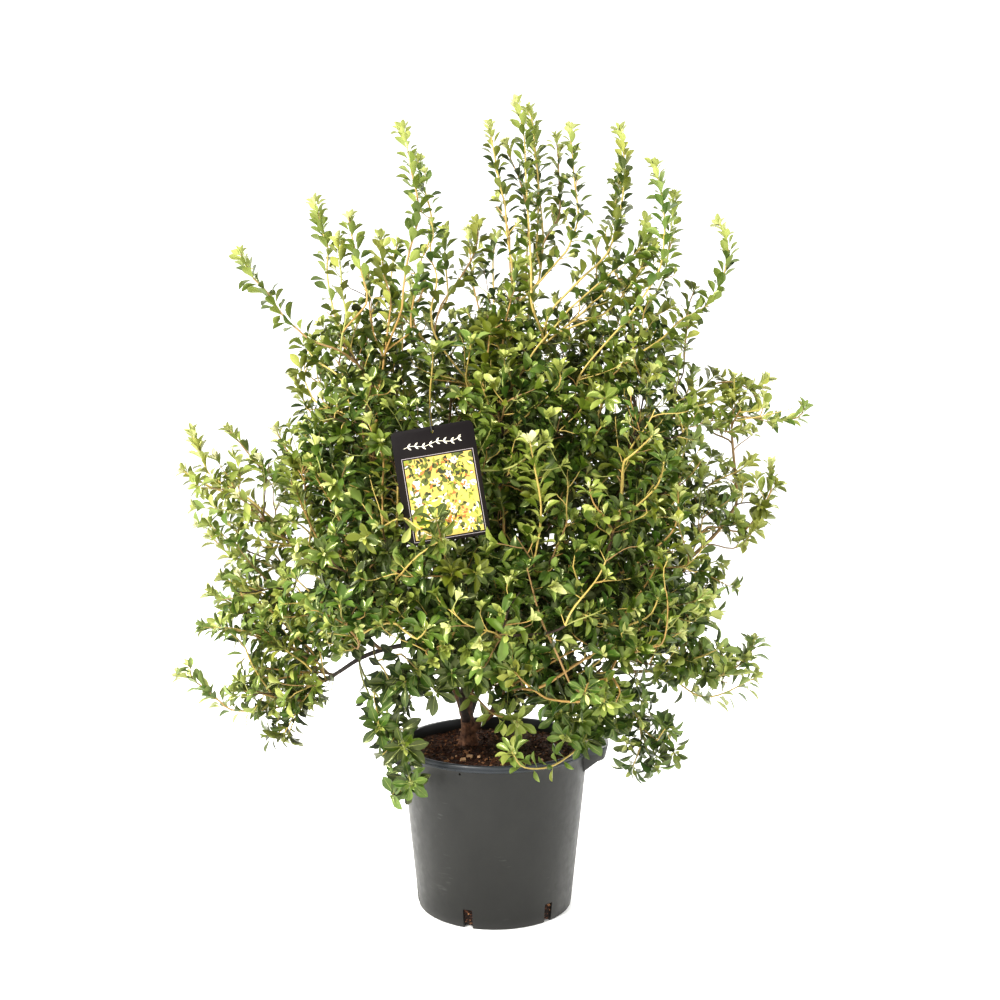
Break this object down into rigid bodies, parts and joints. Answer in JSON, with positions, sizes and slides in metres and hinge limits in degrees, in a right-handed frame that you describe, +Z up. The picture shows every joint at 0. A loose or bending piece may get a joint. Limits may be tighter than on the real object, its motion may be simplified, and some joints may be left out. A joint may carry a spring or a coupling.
{
  "type": "potted enkianthus",
  "caption": "Bushy garden shrub with upright leafy shoots and low spreading boughs, growing in a round dark nursery pot with moulded grips and a plant label.",
  "frame": {"origin": "centre of the pot's flat underside, on the surface that the pot stands on", "axes": "+Z up along the pot's axis, +Y to the back of the plant, -Y to the front, where the label hangs, +X to the right as seen from the front"},
  "size_m": [1.254, 0.9465, 1.6],
  "materials": {
    "pot": "satin",
    "soil": "matte",
    "bark": "matte",
    "foliage": "satin",
    "young_foliage": "satin",
    "label_card": "satin",
    "label_tie": "satin"
  },
  "bodies": {
    "root": {"bough_back": "bark", "bough_centre": "bark", "bough_front": "bark", "bough_left": "bark", "bough_left_low": "bark", "bough_right": "bark", "bough_right_low": "bark", "droop_front": "foliage", "droop_left": "foliage", "droop_right": "foliage", "foliage_back": "foliage", "foliage_back_left": "foliage", "foliage_back_low": "foliage", "foliage_back_right": "foliage", "foliage_back_upper": "foliage", "foliage_core": "foliage", "foliage_core_low": "foliage", "foliage_core_upper": "foliage", "foliage_front": "foliage", "foliage_front_left": "foliage", "foliage_front_right": "foliage", "foliage_front_upper": "foliage", "foliage_front_upper_left": "foliage", "foliage_front_upper_right": "foliage", "foliage_left": "foliage", "foliage_left_bottom": "foliage", "foliage_left_far": "foliage", "foliage_left_far_low": "foliage", "foliage_left_low": "foliage", "foliage_over_pot": "foliage", "foliage_right": "foliage", "foliage_right_arm": "foliage", "foliage_right_far": "foliage", "foliage_right_far_upper": "foliage", "foliage_right_low": "foliage", "foliage_upper_left": "foliage", "foliage_upper_right": "foliage", "label_tie": "label_tie", "plant_label": "label_card", "pot": "pot", "potting_soil": "soil", "shoot_back_right": "young_foliage", "shoot_back_upper": "young_foliage", "shoot_left_bottom": "young_foliage", "shoot_left_second": "young_foliage", "shoot_left_spreading": "young_foliage", "shoot_left_upper": "young_foliage", "shoot_right_arm": "young_foliage", "shoot_right_far": "young_foliage", "shoot_right_spreading": "young_foliage", "shoot_right_upper": "young_foliage", "shoot_right_upturned": "young_foliage", "shoot_top_inner_left": "young_foliage", "shoot_top_inner_right": "young_foliage", "shoot_top_leader": "young_foliage", "shoot_top_left": "young_foliage", "shoot_top_middle": "young_foliage", "shoot_top_right": "young_foliage", "trunk": "bark"}
  },
  "joints": []
}
